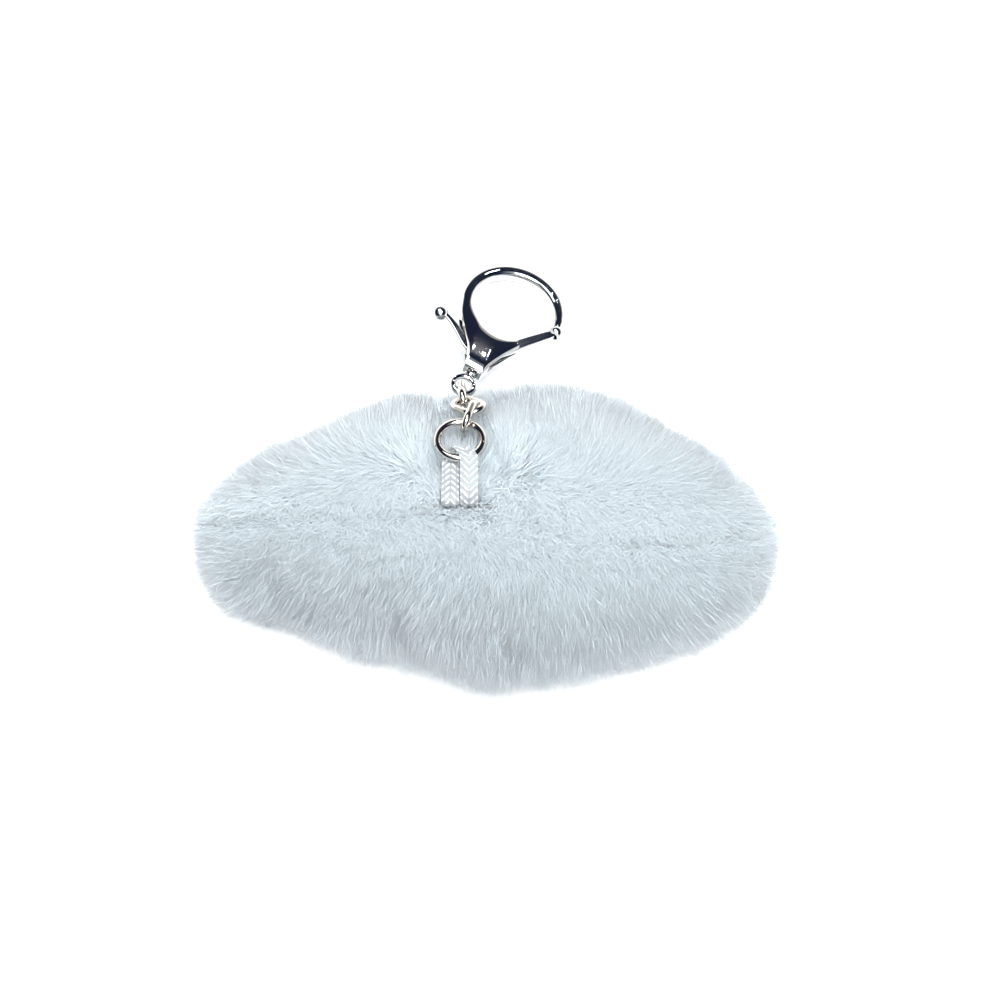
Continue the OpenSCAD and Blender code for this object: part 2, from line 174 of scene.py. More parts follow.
def put_mesh(name, points, faces, material, sharp=None, **attributes):
    """Makes a mesh object from points in mm and a list of face arrays, each with one width, with its point
    attributes.
    """
    mesh = bpy.data.meshes.new(name)
    mesh.vertices.add(len(points))
    mesh.vertices.foreach_set("co", (np.asarray(points) * MM).astype(np.float32).ravel())
    sizes = np.concatenate([np.full(len(f), f.shape[1], np.int32) for f in faces])
    mesh.loops.add(int(sizes.sum()))
    mesh.loops.foreach_set("vertex_index", np.concatenate([f.ravel() for f in faces]).astype(np.int32))
    mesh.polygons.add(len(sizes))
    mesh.polygons.foreach_set("loop_start", (np.cumsum(sizes) - sizes).astype(np.int32))
    mesh.update(calc_edges=True)
    mesh.shade_smooth()
    if sharp is not None:
        mesh.set_sharp_from_angle(angle=math.radians(sharp))
    for key, values in attributes.items():
        mesh.attributes.new(key, "FLOAT", "POINT").data.foreach_set("value", values.astype(np.float32))
    mesh.materials.append(material)
    piece = bpy.data.objects.new(name, mesh)
    bpy.context.scene.collection.objects.link(piece)
    return piece


def grid_faces(rows, cols, round_rows=False, round_cols=False, start=0):
    """Quads between neighbouring points of a rows by cols grid, joined up where it is round."""
    r = np.arange(rows if round_rows else rows - 1)
    c = np.arange(cols if round_cols else cols - 1)
    r, c = (g.ravel() for g in np.meshgrid(r, c, indexing="ij"))
    r2, c2 = (r + 1) % rows, (c + 1) % cols
    return start + np.stack([r * cols + c, r2 * cols + c, r2 * cols + c2, r * cols + c2], -1)


def capped(rows, cols, way=1):
    """The quads round a rows by cols tube and a flat face at each end, the first of them this way round."""
    ring = np.arange(cols)[None]
    return [grid_faces(rows, cols, round_cols=True), ring[:, ::way], (rows - 1) * cols + ring[:, ::-way]]


def shell(outer, inner, round_cols=False):
    """A closed wall between two grids of the same size, with quads round its open rims. Outer rows by
    columns face outwards.
    """
    rows, cols = outer.shape[:2]
    m = rows * cols
    faces = [grid_faces(rows, cols, round_cols=round_cols),
             grid_faces(rows, cols, round_cols=round_cols, start=m)[:, ::-1]]
    index = np.arange(m).reshape(rows, cols)
    if round_cols:
        rims = [index[0], index[-1][::-1]]
    else:
        rims = [np.concatenate([index[0], index[1:, -1], index[-1, -2::-1], index[-2:0:-1, 0]])]
    for rim in rims:
        following = np.roll(rim, -1)
        faces.append(np.stack([rim, following, following + m, rim + m], -1))
    return np.concatenate([outer.reshape(-1, 3), inner.reshape(-1, 3)]), faces


def around(a):
    """Points on the unit circle at these angles."""
    return np.stack([np.cos(a), np.sin(a)], -1)


def swept(path, across, out, wide, thick, profile, closed=False):
    """A section carried along a path: each point is the path's, plus half the width across and half the
    thickness out, by the profile's two numbers.

    Returns the points and faces, with a flat cap of one face at each end if the path is open.
    """
    n, k = len(path), len(profile)
    grid = path[:, None] + across[:, None] * (wide[:, None] / 2 * profile[None, :, 0])[..., None] \
        + out[:, None] * (thick[:, None] / 2 * profile[None, :, 1])[..., None]
    faces = [grid_faces(n, k, round_rows=True, round_cols=True)] if closed else capped(n, k)
    return grid.reshape(-1, 3), faces


def outwards(points, faces):
    """The faces, turned over if the closed surface's volume comes out negative."""
    volume = 0.0
    for f in faces:
        a = points[f[:, 0]]
        for k in range(1, f.shape[1] - 1):
            volume += np.einsum("ij,ij->", a, np.cross(points[f[:, k]], points[f[:, k + 1]]))
    return faces if volume > 0 else [f[:, ::-1] for f in faces]


def tube(name, line, up, radius, material, closed=False, sides=24):
    """A round wire along a line of points. Each section's frame is the line's direction crossed with up."""
    ahead = unit(np.roll(line, -1, 0) - np.roll(line, 1, 0) if closed else np.gradient(line, axis=0))
    side = unit(np.cross(ahead, up))
    wide = np.full(len(line), 2.0 * radius)
    points, faces = swept(line, side, np.cross(side, ahead), wide, wide, oval_profile(sides), closed)
    return put_mesh(name, points, outwards(points, faces), material, sharp=50)


def oval_profile(n, power=2.0):
    """Points of a superellipse, |x| to the power plus |y| to the power equal to one."""
    a = np.linspace(0, 2 * np.pi, n, endpoint=False)
    c, s = np.cos(a), np.sin(a)
    return np.stack([np.sign(c) * np.abs(c) ** (2 / power), np.sign(s) * np.abs(s) ** (2 / power)], -1)


# ---------------------------------------------------------------- materials

def new_material(name, **values):
    """A material whose Principled shader has these values on its own sockets."""
    material = bpy.data.materials.new(name)
    material.use_nodes = True
    shader = material.node_tree.nodes["Principled BSDF"]
    for key, value in values.items():
        shader.inputs[key.replace("_", " ")].default_value = value
    return material, material.node_tree, shader


def add_node(tree, kind, **settings):
    """A shader node with its settings, and the values of its named inputs."""
    node = tree.nodes.new("ShaderNode" + kind)
    for key, value in settings.items():
        if key in node.inputs:
            node.inputs[key].default_value = value
        else:
            setattr(node, key, value)
    return node


def add_ramp(tree, source, stops):
    """A colour ramp fed by source, with (place, colour) stops."""
    ramp = add_node(tree, "ValToRGB")
    while len(ramp.color_ramp.elements) < len(stops):
        ramp.color_ramp.elements.new(1.0)
    for element, (place, colour) in zip(ramp.color_ramp.elements, stops):
        element.position, element.color = place, (*colour, 1.0)
    tree.links.new(source, ramp.inputs["Fac"])
    return ramp


def object_noise(tree, scale, detail=3.0, roughness=0.5):
    """A noise texture on Object coordinates, in metres."""
    place = add_node(tree, "TexCoord")
    noise = add_node(tree, "TexNoise", Scale=scale, Detail=detail, Roughness=roughness)
    tree.links.new(place.outputs["Object"], noise.inputs["Vector"])
    return noise


def add_bump(tree, shader, height, strength, distance):
    """A bump from a height socket on the shader's normal."""
    bump = add_node(tree, "Bump", Strength=strength, Distance=distance)
    tree.links.new(height, bump.inputs["Height"])
    tree.links.new(bump.outputs["Normal"], shader.inputs["Normal"])


def tint(colour, factor):
    """A colour times a factor, held under 1."""
    return tuple(min(1.0, c * factor) for c in colour)


def fur_material(name, settings, painted_shade):
    """Pile: each strand's tone attribute runs from painted shade at its root to its pale tip, plus a random tone per
    strand; the shade factor darkens the whole colour, as painted shade for the lower pile.
    """
    material, tree, shader = new_material(name, Roughness=0.6, Specular_IOR_Level=0.2, Sheen_Weight=0.25,
                                          Subsurface_Weight=0.5,
                                        Subsurface_Scale=0.0006, Subsurface_Radius=(1.0, 1.0, 1.0))
    tone = add_node(tree, "Attribute", attribute_name="tone")
    # Painted shade: the shade factor darkens the whole colour; it is 1 for the upper pile and less for the lower
    # pile, which is the same fur.
    base = tint(settings.fur_colour, painted_shade)
    # Painted shade: low tone, at each strand's root, gets the darker colour and high tone, at its tip, the paler one.
    ramp = add_ramp(tree, tone.outputs["Fac"],
                    [(0.0, tint(base, 0.90)), (0.45, tint(base, 0.98)), (1.0, tint(base, 1.04))])
    tree.links.new(ramp.outputs["Color"], shader.inputs["Base Color"])
    return material


def backing_material(settings):
    """Knitted backing with short pile: noise in its colour, and a bump from the same noise."""
    material, tree, shader = new_material("fur_backing", Roughness=0.9, Specular_IOR_Level=0.15, Sheen_Weight=0.3)
    base = tuple(settings.fur_colour)
    noise = object_noise(tree, 900.0, 4.0, 0.6)
    ramp = add_ramp(tree, noise.outputs["Fac"], [(0.3, tint(base, 0.78)), (0.7, tint(base, 0.98))])
    tree.links.new(ramp.outputs["Color"], shader.inputs["Base Color"])
    add_bump(tree, shader, noise.outputs["Fac"], 0.8, 0.0006)
    return material


def fibre_material():
    """Loose polyester fibre: soft cloudy variation in off-white."""
    material, tree, shader = new_material("polyester_fibre", Roughness=0.95, Specular_IOR_Level=0.1, Sheen_Weight=0.4)
    noise = object_noise(tree, 350.0, 6.0, 0.7)
    ramp = add_ramp(tree, noise.outputs["Fac"], [(0.35, (0.78, 0.78, 0.75)), (0.65, (0.92, 0.92, 0.90))])
    tree.links.new(ramp.outputs["Color"], shader.inputs["Base Color"])
    add_bump(tree, shader, noise.outputs["Fac"], 0.7, 0.001)
    return material


def thread_material():
    """Twisted sewing thread: diagonal bands and a soft gloss."""
    material, tree, shader = new_material("sewing_thread", Roughness=0.45, Specular_IOR_Level=0.4, Sheen_Weight=0.2)
    place = add_node(tree, "TexCoord")
    turn = add_node(tree, "Mapping", Rotation=(0.4, 0.5, 0.8))
    wave = add_node(tree, "TexWave", Scale=900.0, Distortion=1.0)
    tree.links.new(place.outputs["Object"], turn.inputs["Vector"])
    tree.links.new(turn.outputs["Vector"], wave.inputs["Vector"])
    ramp = add_ramp(tree, wave.outputs["Fac"], [(0.0, (0.72, 0.76, 0.80)), (1.0, (0.92, 0.94, 0.96))])
    tree.links.new(ramp.outputs["Color"], shader.inputs["Base Color"])
    add_bump(tree, shader, wave.outputs["Fac"], 0.4, 0.0001)
    return material


def ribbon_material(settings):
    """Woven ribbon: painted shade in the weave's grooves and painted light on its floats, by the weave attribute,
    with fine yarn noise.
    """
    material, tree, shader = new_material("woven_ribbon", Specular_IOR_Level=0.5, Sheen_Weight=0.3)
    weave = add_node(tree, "Attribute", attribute_name="weave")
    base = tuple(settings.ribbon_colour)
    # Painted shade and light: the weave's low grooves get a darker colour and its raised floats a lighter one.
    ramp = add_ramp(tree, weave.outputs["Fac"],
                    [(0.15, tint(base, 0.40)), (0.5, tint(base, 0.52)), (0.85, tint(base, 1.08))])
    tree.links.new(ramp.outputs["Color"], shader.inputs["Base Color"])
    noise = object_noise(tree, 4000.0, 2.0)
    rough = add_node(tree, "MapRange", **{"To Min": 0.28, "To Max": 0.5})
    tree.links.new(noise.outputs["Fac"], rough.inputs["Value"])
    tree.links.new(rough.outputs["Result"], shader.inputs["Roughness"])
    add_bump(tree, shader, noise.outputs["Fac"], 0.3, 0.00008)
    return material


def nickel_material(name, colour, roughness, wear):
    """Polished nickel plate: faint cloudy handling marks in its colour and gloss, and a slight unevenness
    from casting.
    """
    material, tree, shader = new_material(name, Metallic=1.0)
    cloud = object_noise(tree, 260.0, 4.0, 0.6)
    ramp = add_ramp(tree, cloud.outputs["Fac"], [(0.3, tint(colour, 1 - wear)), (0.7, tint(colour, 1 + wear))])
    tree.links.new(ramp.outputs["Color"], shader.inputs["Base Color"])
    rough = add_node(tree, "MapRange", **{"From Min": 0.3, "From Max": 0.75, "To Min": roughness,
                                          "To Max": roughness * 2.2})
    tree.links.new(cloud.outputs["Fac"], rough.inputs["Value"])
    tree.links.new(rough.outputs["Result"], shader.inputs["Roughness"])
    waves = object_noise(tree, 180.0, 1.0)
    add_bump(tree, shader, waves.outputs["Fac"], 0.12, 0.0004)
    return material


def put_material(nodes, material):
    """Gives CAD nodes a material."""
    for name in nodes:
        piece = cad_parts[name]
        piece.data.materials.clear()
        piece.data.materials.append(material)


def finish_piece(piece, body, replaces=()):
    """Ties a finished piece to its body and the CAD nodes that it stands for."""
    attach(piece, body)
    if replaces:
        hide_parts(*replaces)


# ---------------------------------------------------------------- fur

ROOT_CELLS = (260, 70)  # the cells that roots are drawn from, along and across a panel
STRAND_SHARES = (0.0, 0.52, 1.0)  # where a strand's three points lie along it
DROOP = 0.16
LEAN_LIMITS = (-0.9, 1.4)
STRAY_SHARE, STRAY_LEAN, STRAY_LENGTH = 0.05, 0.75, 1.18
LOCK_PULLS = ((1, 0.06), (2, 0.24))  # how far a lock draws a strand's second and third points
FLOOR_GAP = 0.12
RIBBON_CLEAR, RIBBON_CLEAR_Y, RIBBON_CLEAR_Z = 5.4, (3.6, 22.5), 30


def comb_upper(side, p, t, i):
    """The way that the upper fur is combed: away from the top seam, out towards the two ends, and down over
    the waist.

    Behind the seam it starts out forwards, over the seam, and swings round by way of the nearer end, so that the
    seam has no parting. By the ribbon it only goes back.
    """
    x = p[:, 0] / 62.0
    out = 1.1 * x * np.abs(x) + 0.25 * x
    along = np.full(len(p), float(side))
    if side > 0:
        swung, off = smooth(i / 0.42), p[:, 0] - PRESS_X
        along = mix(1.0, mix(-0.9, 1.0, swung), smooth((np.abs(off) - 3.8) / 3))
        out = out + 3.4 * swung * (1 - swung) * np.clip(off / 14, -1, 1)
    return np.stack([out, along * (1 - 0.5 * x * x), np.full(len(p), -0.45)], -1)


def comb_base(p, a, f):
    """The way that the lower fur is combed: straight out from the middle, up over the waist at the top, and
    down below it.
    """
    out = unit(p * [1, 1, 0])
    out[:, 2] = mix(0.8, -0.55, smooth(f / 0.35))
    return out


def turned(v, axis, angle):
    """Vectors turned about unit axes by angles, by Rodrigues' formula."""
    c, s = np.cos(angle)[:, None], np.sin(angle)[:, None]
    return v * c + np.cross(axis, v) * s + axis * np.einsum("ij,ij->i", axis, v)[:, None] * (1 - c)


def root_places(surface, u_range, v_range, count, rng, keep):
    """Random places on a surface, as dense everywhere: a fine grid's cells are drawn by their area, and
    each place is shaken inside its cell.
    """
    nu, nv = ROOT_CELLS
    u, v = (g.ravel() for g in np.meshgrid(mix(*u_range, (np.arange(nu) + 0.5) / nu),
                                           mix(*v_range, (np.arange(nv) + 0.5) / nv), indexing="ij"))
    du, dv, _ = slopes(surface, u, v)
    area = np.linalg.norm(np.cross(du, dv), axis=-1) * keep(surface(u, v), u, v)
    picked = rng.choice(len(u), count, p=area / area.sum())
    du_cell, dv_cell = (u_range[1] - u_range[0]) / nu, (v_range[1] - v_range[0]) / nv
    return u[picked] + rng.uniform(-0.5, 0.5, count) * du_cell, v[picked] + rng.uniform(-0.5, 0.5, count) * dv_cell


def nearest(points, centres):
    """For each point, the number of the nearest centre."""
    found = np.empty(len(points), int)
    squares = (centres ** 2).sum(-1)
    for start in range(0, len(points), 4096):
        part = points[start:start + 4096]
        found[start:start + 4096] = np.argmin(squares - 2 * part @ centres.T, axis=-1)
    return found


def strand_lines(root, normal, comb, lean, length):
    """Each strand's points: it leaves between the normal and the comb direction and bends on towards the
    comb and down.

    A point at share s is the root, plus the length times s times the first direction, plus half of s squared
    times the change to the last direction.
    """
    along = unit(comb - normal * np.einsum("ij,ij->i", comb, normal)[:, None])
    first = normal * np.cos(lean * 0.72)[:, None] + along * np.sin(lean * 0.72)[:, None]
    last = normal * np.cos(lean * 1.3)[:, None] + along * np.sin(lean * 1.3)[:, None] + np.array([0, 0, -1.0]) * DROOP
    return np.stack([root + length[:, None] * (s * first + s * s / 2 * (last - first)) for s in STRAND_SHARES], 1)


def strands_mesh(name, lines, width, tone, material):
    """Three-sided tapering strands: two rings of three points and a tip each, with a closed foot."""
    n = len(lines)
    d = unit(lines[:, 1] - lines[:, 0])
    u = unit(np.cross(d, np.where(np.abs(d[:, 2:]) > 0.9, [[1.0, 0, 0]], [[0, 0, 1.0]])))
    v = np.cross(d, u)
    rings = []
    for line, share in ((lines[:, 0], 1.0), (lines[:, 1], 0.72)):
        for k in range(3):
            a = 2 * np.pi * k / 3
            rings.append(line + (u * math.cos(a) + v * math.sin(a)) * (width * share / 2)[:, None])
    points = np.stack([*rings, lines[:, 2]], 1).reshape(-1, 3)
    first = 7 * np.arange(n)[:, None, None]
    sides = np.array([[0, 1, 4, 3], [1, 2, 5, 4], [2, 0, 3, 5]])
    tips = np.array([[3, 4, 6], [4, 5, 6], [5, 3, 6], [2, 1, 0]])
    # Tone: the strand's random tone, plus painted shade that is deepest at the root and lifts towards the tip.
    tone_and_root_shade = np.repeat(tone[:, None], 7, 1) * 0.35 + np.array([0, 0, 0, 0.4, 0.4, 0.4, 0.65])
    return put_mesh(name, points, [(first + sides).reshape(-1, 4), (first + tips).reshape(-1, 3)], material,
                    tone=tone_and_root_shade.ravel())


def held_in(root, tip, over):
    """The share of its length that each strand may keep, so that its tip ends this far over the outline or
    the crown at most.
    """
    at, start = np.hypot(tip[:, 0], tip[:, 1]), np.hypot(root[:, 0], root[:, 1])
    room = edge_radius(np.arctan2(tip[:, 1], tip[:, 0])) + over - start
    side = np.where(at - start > 0.2, room / np.maximum(at - start, 0.2), 1.0)
    rise = tip[:, 2] - root[:, 2]
    top = np.where(rise > 0.2, (WAIST_Z + SEAM_GAP / 2 + CROWN + 0.6 + 0.5 * over - root[:, 2])
                   / np.maximum(rise, 0.2), 1.0)
    return np.clip(np.minimum(side, top), 0.3, 1.0)


def grow_fur(name, surface, u_range, v_range, comb, settings, count, pieces, seed, region, material):
    """Fur over a surface: roots, lean and length by region, locks that draw strands together, and a few
    stray ends.
    """
    rng = np.random.default_rng(seed)
    u, v = root_places(surface, u_range, v_range, count, rng, region["keep"])
    root = surface(u, v)
    normal = slopes(surface, u, v)[2]
    flip = np.where(np.einsum("ij,ij->i", normal, root - [0, 0, WAIST_Z * 0.6]) < 0, -1.0, 1.0)
    normal = normal * flip[:, None]
    swirl = 0.45 * soft_noise(root, 26.0, seed + 1) + 0.25 * soft_noise(root, 9.0, seed + 2) + rng.normal(0, 1,
            count) * region["stray"](root, u, v)
    direction = turned(comb(root, u, v), normal, swirl)
    lean, length = region["lean"](root, u, v), region["length"](root, u, v)
    lean = lean + 0.08 * soft_noise(root, 7.0, seed + 3) + rng.normal(0, 0.10, count)
    length = length * (1 + 0.05 * soft_noise(root, 8.0, seed + 4) + 0.08
                       * soft_noise(root, 24.0, seed + 6)) * rng.uniform(0.8, 1.06, count)
    stray = rng.random(count) < STRAY_SHARE
    lean, length = np.where(stray, lean * STRAY_LEAN, lean), np.where(stray, length * STRAY_LENGTH, length)
    lean = np.clip(lean, *LEAN_LIMITS)
    lines = strand_lines(root, normal, direction, lean, length)
    over = rng.uniform(-2.4, 2.2, count) + 2.0 * soft_noise(root, 4.5, seed + 5) + 3.0 * stray
    over -= 1.8 * (1 - smooth((np.abs(root[:, 0] + 4) - 4) / 12)) * smooth((root[:, 1] - 18) / 6)
    length = length * held_in(root, lines[:, 2], over) * off_ribbon(lines[:, 2])
    lines = strand_lines(root, normal, direction, lean, length)
    locks = rng.choice(count, max(8, int(count * settings.locks)), replace=False)
    mine = locks[nearest(root, root[locks])]
    for k, pull in LOCK_PULLS:
        draw = (pull * rng.uniform(0.3, 1.2, count) * ~stray)[:, None]
        lines[:, k] += draw * (lines[mine, k] - lines[:, k])
    lines[:, :, 2] = np.maximum(lines[:, :, 2], FLOOR_GAP + rng.uniform(0, 0.5, count)[:, None])
    width = settings.strand_width / MM * rng.uniform(0.7, 1.25, count)
    tone = rng.random(count)
    order = np.argsort(u, kind="stable")
    for k, part in enumerate(np.array_split(order, pieces)):
        piece = strands_mesh(f"{name}_{k + 1}", lines[part], width[part], tone[part], material)
        finish_piece(piece, "plush")


def valley_share(p):
    """How much a place lies in the valley under the ribbon, ring and chain, from 0 to 1."""
    return (1 - smooth((np.abs(p[:, 0] - PRESS_X) - 3.5) / 7.0)) * smooth((p[:, 1] - 3.6) / 4.0)


def off_ribbon(tip):
    """The share of its length that a strand keeps if its tip would cover the ribbon or the jump ring, or else 1."""
    near, far = RIBBON_CLEAR_Y
    over = (np.abs(tip[:, 0] - PRESS_X) < RIBBON_CLEAR) & (tip[:, 1] > near) & (tip[:, 1] < far)
    over &= tip[:, 2] > RIBBON_CLEAR_Z
    return np.where(over, 0.5, 1.0)


def foot_share(side, p):
    """How much a place lies in front of the ribbon's foot, or behind and beside it, from 0 to 1. Fur there
    leans both ways over the seam.
    """
    off = np.abs(p[:, 0] - PRESS_X)
    near = 1 - smooth((off - 5.0) / 4.0)
    if side < 0:
        return near * smooth((p[:, 1] - 0.2) / 1.6)
    return near * smooth((off - 4.1) / 0.6) * (1 - smooth((p[:, 1] - 3.6) / 2.4))


def upper_region(side, settings):
    """Keep, lean, length and stray of the upper fur. It crosses every way over the seam, and lies flat in
    the valley.
    """
    full = settings.pile_length / MM

    def lean(p, t, i):
        base = mix(math.radians(57), math.radians(37), smooth((i - 0.7) / 0.3))
        if side > 0:
            base = mix(base, math.radians(66), valley_share(p))
        return mix(base, 0.1 - 0.35 * (side > 0) + 0.8 * soft_noise(p, 0.6, 77), foot_share(side, p))

    def length(p, t, i):
        base = full * mix(0.8, 1.0, smooth(i / 0.3))
        return base * (mix(1.0, 0.72, valley_share(p)) if side > 0 else mix(1.0, 0.8, foot_share(side, p)))

    def stray(p, t, i):
        at_end = smooth((np.abs(p[:, 0]) - 44) / 12)
        seam = mix(1.2, 0.22, smooth(i / mix(0.38, 0.7, at_end))) * (1 - 0.6 * valley_share(p) * (side > 0))
        return seam + 0.5 * smooth((i - 0.88) / 0.1)

    return {"keep": lambda p, t, i: 1.0, "lean": lean, "length": length, "stray": stray}


def base_region(settings):
    """Keep, lean, length and stray of the lower fur. It gets shorter and flatter as it rolls under."""
    full = settings.pile_length / MM

    def keep(p, a, f):
        return np.where(f < 1.0, 1.0, 0.25)

    def lean(p, a, f):
        return mix(math.radians(36), math.radians(62), smooth(f))

    def length(p, a, f):
        return full * mix(0.95, 0.35, smooth((f - 0.3) / 0.75))

    def stray(p, a, f):
        return mix(0.8, 0.22, smooth(f / 0.2))

    return {"keep": keep, "lean": lean, "length": length, "stray": stray}


# ---------------------------------------------------------------- settings

def colour_setting(name, description, default):
    """A colour in the panel."""
    return bpy.props.FloatVectorProperty(name=name, description=description, subtype="COLOR", size=3, min=0, max=1,
                                         default=default)


def length_setting(name, description, default, low, high):
    """A length in the panel, in metres."""
    return bpy.props.FloatProperty(name=name, description=description, unit="LENGTH", subtype="DISTANCE",
                                   default=default, min=low, max=high)


class FurSettings(bpy.types.PropertyGroup):
    """The fur panels' pile."""

    fur_colour: colour_setting("Fur colour", "Colour of the pile", (0.865, 0.945, 0.995))
    pile_length: length_setting("Pile length", "Length of a strand", 0.0096, 0.004, 0.012)
    strand_width: length_setting("Strand width", "Width of a strand at its foot", 0.00015, 0.0001, 0.0005)
    upper_strands: bpy.props.IntProperty(name="Upper strands", description="Strands on each upper panel",
                                         default=60000, min=1000, max=90000)
    base_strands: bpy.props.IntProperty(name="Base strands", description="Strands on the base panel", default=46000,
                                        min=1000, max=90000)
    # Painted shade: the lower pile is the same fur, with its colour darkened by this share.
    lower_painted_shade: bpy.props.FloatProperty(name="Lower shade",
                                         description="The lower pile's brightness, as a share of the upper pile's",
                                         subtype="FACTOR", default=0.9, min=0.3, max=1.0)
    locks: bpy.props.FloatProperty(name="Locks", description="Share of the strands that draw others to them",
                                   default=0.03, min=0.002, max=0.2)


class RibbonSettings(bpy.types.PropertyGroup):
    """The woven ribbon."""

    ribbon_colour: colour_setting("Ribbon colour", "Colour of the ribbon's yarn", (0.74, 0.78, 0.81))
    weave_pitch: length_setting("Weave pitch", "Distance from one chevron to the next", 0.0015, 0.0005, 0.003)
    weave_depth: length_setting("Weave depth", "How far the floats stand proud", 0.00018, 0.0, 0.0003)


class MetalSettings(bpy.types.PropertyGroup):
    """The plated findings."""

    metal_colour: colour_setting("Metal colour", "Colour of the nickel plate", (0.66, 0.65, 0.64))
    polish: bpy.props.FloatProperty(name="Roughness", description="Roughness of the polished plate",
                                    subtype="FACTOR", default=0.035, min=0.0, max=0.5)


class StageSettings(bpy.types.PropertyGroup):
    """The camera and the light."""

    elevation: bpy.props.FloatProperty(name="Elevation", description="The camera's angle over the floor",
                                       unit="ROTATION", subtype="ANGLE", default=math.radians(83))
    lens: bpy.props.FloatProperty(name="Lens", description="The camera's focal length in mm", default=85.0, min=20,
                                  max=200)
    key_power: bpy.props.FloatProperty(name="Key light", description="Power of the large soft light", unit="POWER",
                                       default=19.6, min=0)
    floor_colour: colour_setting("Floor colour", "Colour of the floor", (0.95, 0.95, 0.95))


# ---------------------------------------------------------------- operators

class KEYCHAIN_OT_backing(bpy.types.Operator):
    """Build the three fur panels' backings and the fibre that fills them"""

    bl_idname = "keychain.backing"
    bl_label = "Panel Backings and Filling"

    def execute(self, context):
        settings = context.scene.keychain_fur
        cloth = backing_material(settings)
        fine = 1
        for side, name, node in ((-1, "front_backing", "top_front_panel"), (1, "rear_backing", "top_rear_panel")):
            t, i = np.meshgrid(np.linspace(0.02, 0.98, 120 // fine), np.linspace(0, 1, 40 // fine), indexing="ij")
            outer, inner = (upper_point(side, t, i, PILE + depth) for depth in (0.0, BACKING))
            points, faces = shell(outer, inner)
            piece = put_mesh(name, points, outwards(points, faces), cloth, sharp=50)
            finish_piece(piece, "plush", [node])
        a = np.linspace(0, 2 * np.pi, 160 // fine, endpoint=False)
        f = np.concatenate([np.linspace(0, 1, 24), np.linspace(1.08, 1.97, 12)])
        f, a = np.meshgrid(f, a, indexing="ij")
        points, faces = shell(base_point(a, f, PILE), base_point(a, f, PILE + BACKING) + [0, 0, 0.3 * BACKING],
                              round_cols=True)
        piece = put_mesh("base_backing", points, outwards(points, faces), cloth, sharp=50)
        finish_piece(piece, "plush", ["base_panel"])

        # A lumpy pillow: the half-height is the root of one less the radius squared, and noise swells it.
        rows, cols = 36 // fine, 96 // fine
        v, a = np.meshgrid(np.linspace(-np.pi / 2, np.pi / 2, rows + 2)[1:-1],
                           np.linspace(0, 2 * np.pi, cols, endpoint=False), indexing="ij")
        r = (edge_radius(a) - 11) * 0.84 * np.cos(v)
        pillow = np.stack([r * np.cos(a), r * np.sin(a) - 1, 14.5 + np.where(v > 0, 11.0, 5.5) * np.sin(v)], -1)
        lump = 1 + 0.045 * soft_noise(pillow.reshape(-1, 3), 14.0, 5).reshape(v.shape + (1,))
        pillow = (pillow - [0, 0, 14]) * lump + [0, 0, 14]
        points = np.concatenate([pillow.reshape(-1, 3), [[0, -1, 8.9]], [[0, -1, 25.2]]])
        m = rows * cols
        ring = np.arange(cols)
        caps = [np.stack([np.roll(ring, -1), ring, np.full(cols, m)], -1),
                np.stack([m - cols + ring, m - cols + np.roll(ring, -1), np.full(cols, m + 1)], -1)]
        piece = put_mesh("fibre_fill", points,
                         outwards(points, [grid_faces(rows, cols, round_cols=True)[:, ::-1], *caps]),
                         fibre_material())
        finish_piece(piece, "plush", ["stuffing"])
        return {"FINISHED"}


class KEYCHAIN_OT_fur(bpy.types.Operator):
    """Grow the long pile on the three panels"""

    bl_idname = "keychain.fur"
    bl_label = "Fur"

    def execute(self, context):
        settings = context.scene.keychain_fur
        # Two copies of one fur: the lower one is darker, as painted shade.
        pile, lower_pile_painted_shade = fur_material("upper_pile", settings, 1.0), fur_material("lower_pile_painted_shade", settings,
                settings.lower_painted_shade)
        share = 1.0
        for side, name, seed in ((-1, "front_pile", 11), (1, "rear_pile", 31)):
            grow_fur(name, lambda t, i, side=side: upper_point(side, t, i, PILE), (0.006, 0.994), (0.002, 0.998),
                     lambda p, t, i, side=side: comb_upper(side, p, t, i), settings,
                     int(settings.upper_strands * share), 4, seed,
                     upper_region(side, settings), pile)
        grow_fur("base_pile", lambda a, f: base_point(a, f, PILE), (0.0, 2 * np.pi), (0.0, 1.25), comb_base, settings,
                 int(settings.base_strands * share), 3, 51, base_region(settings), lower_pile_painted_shade)
        return {"FINISHED"}


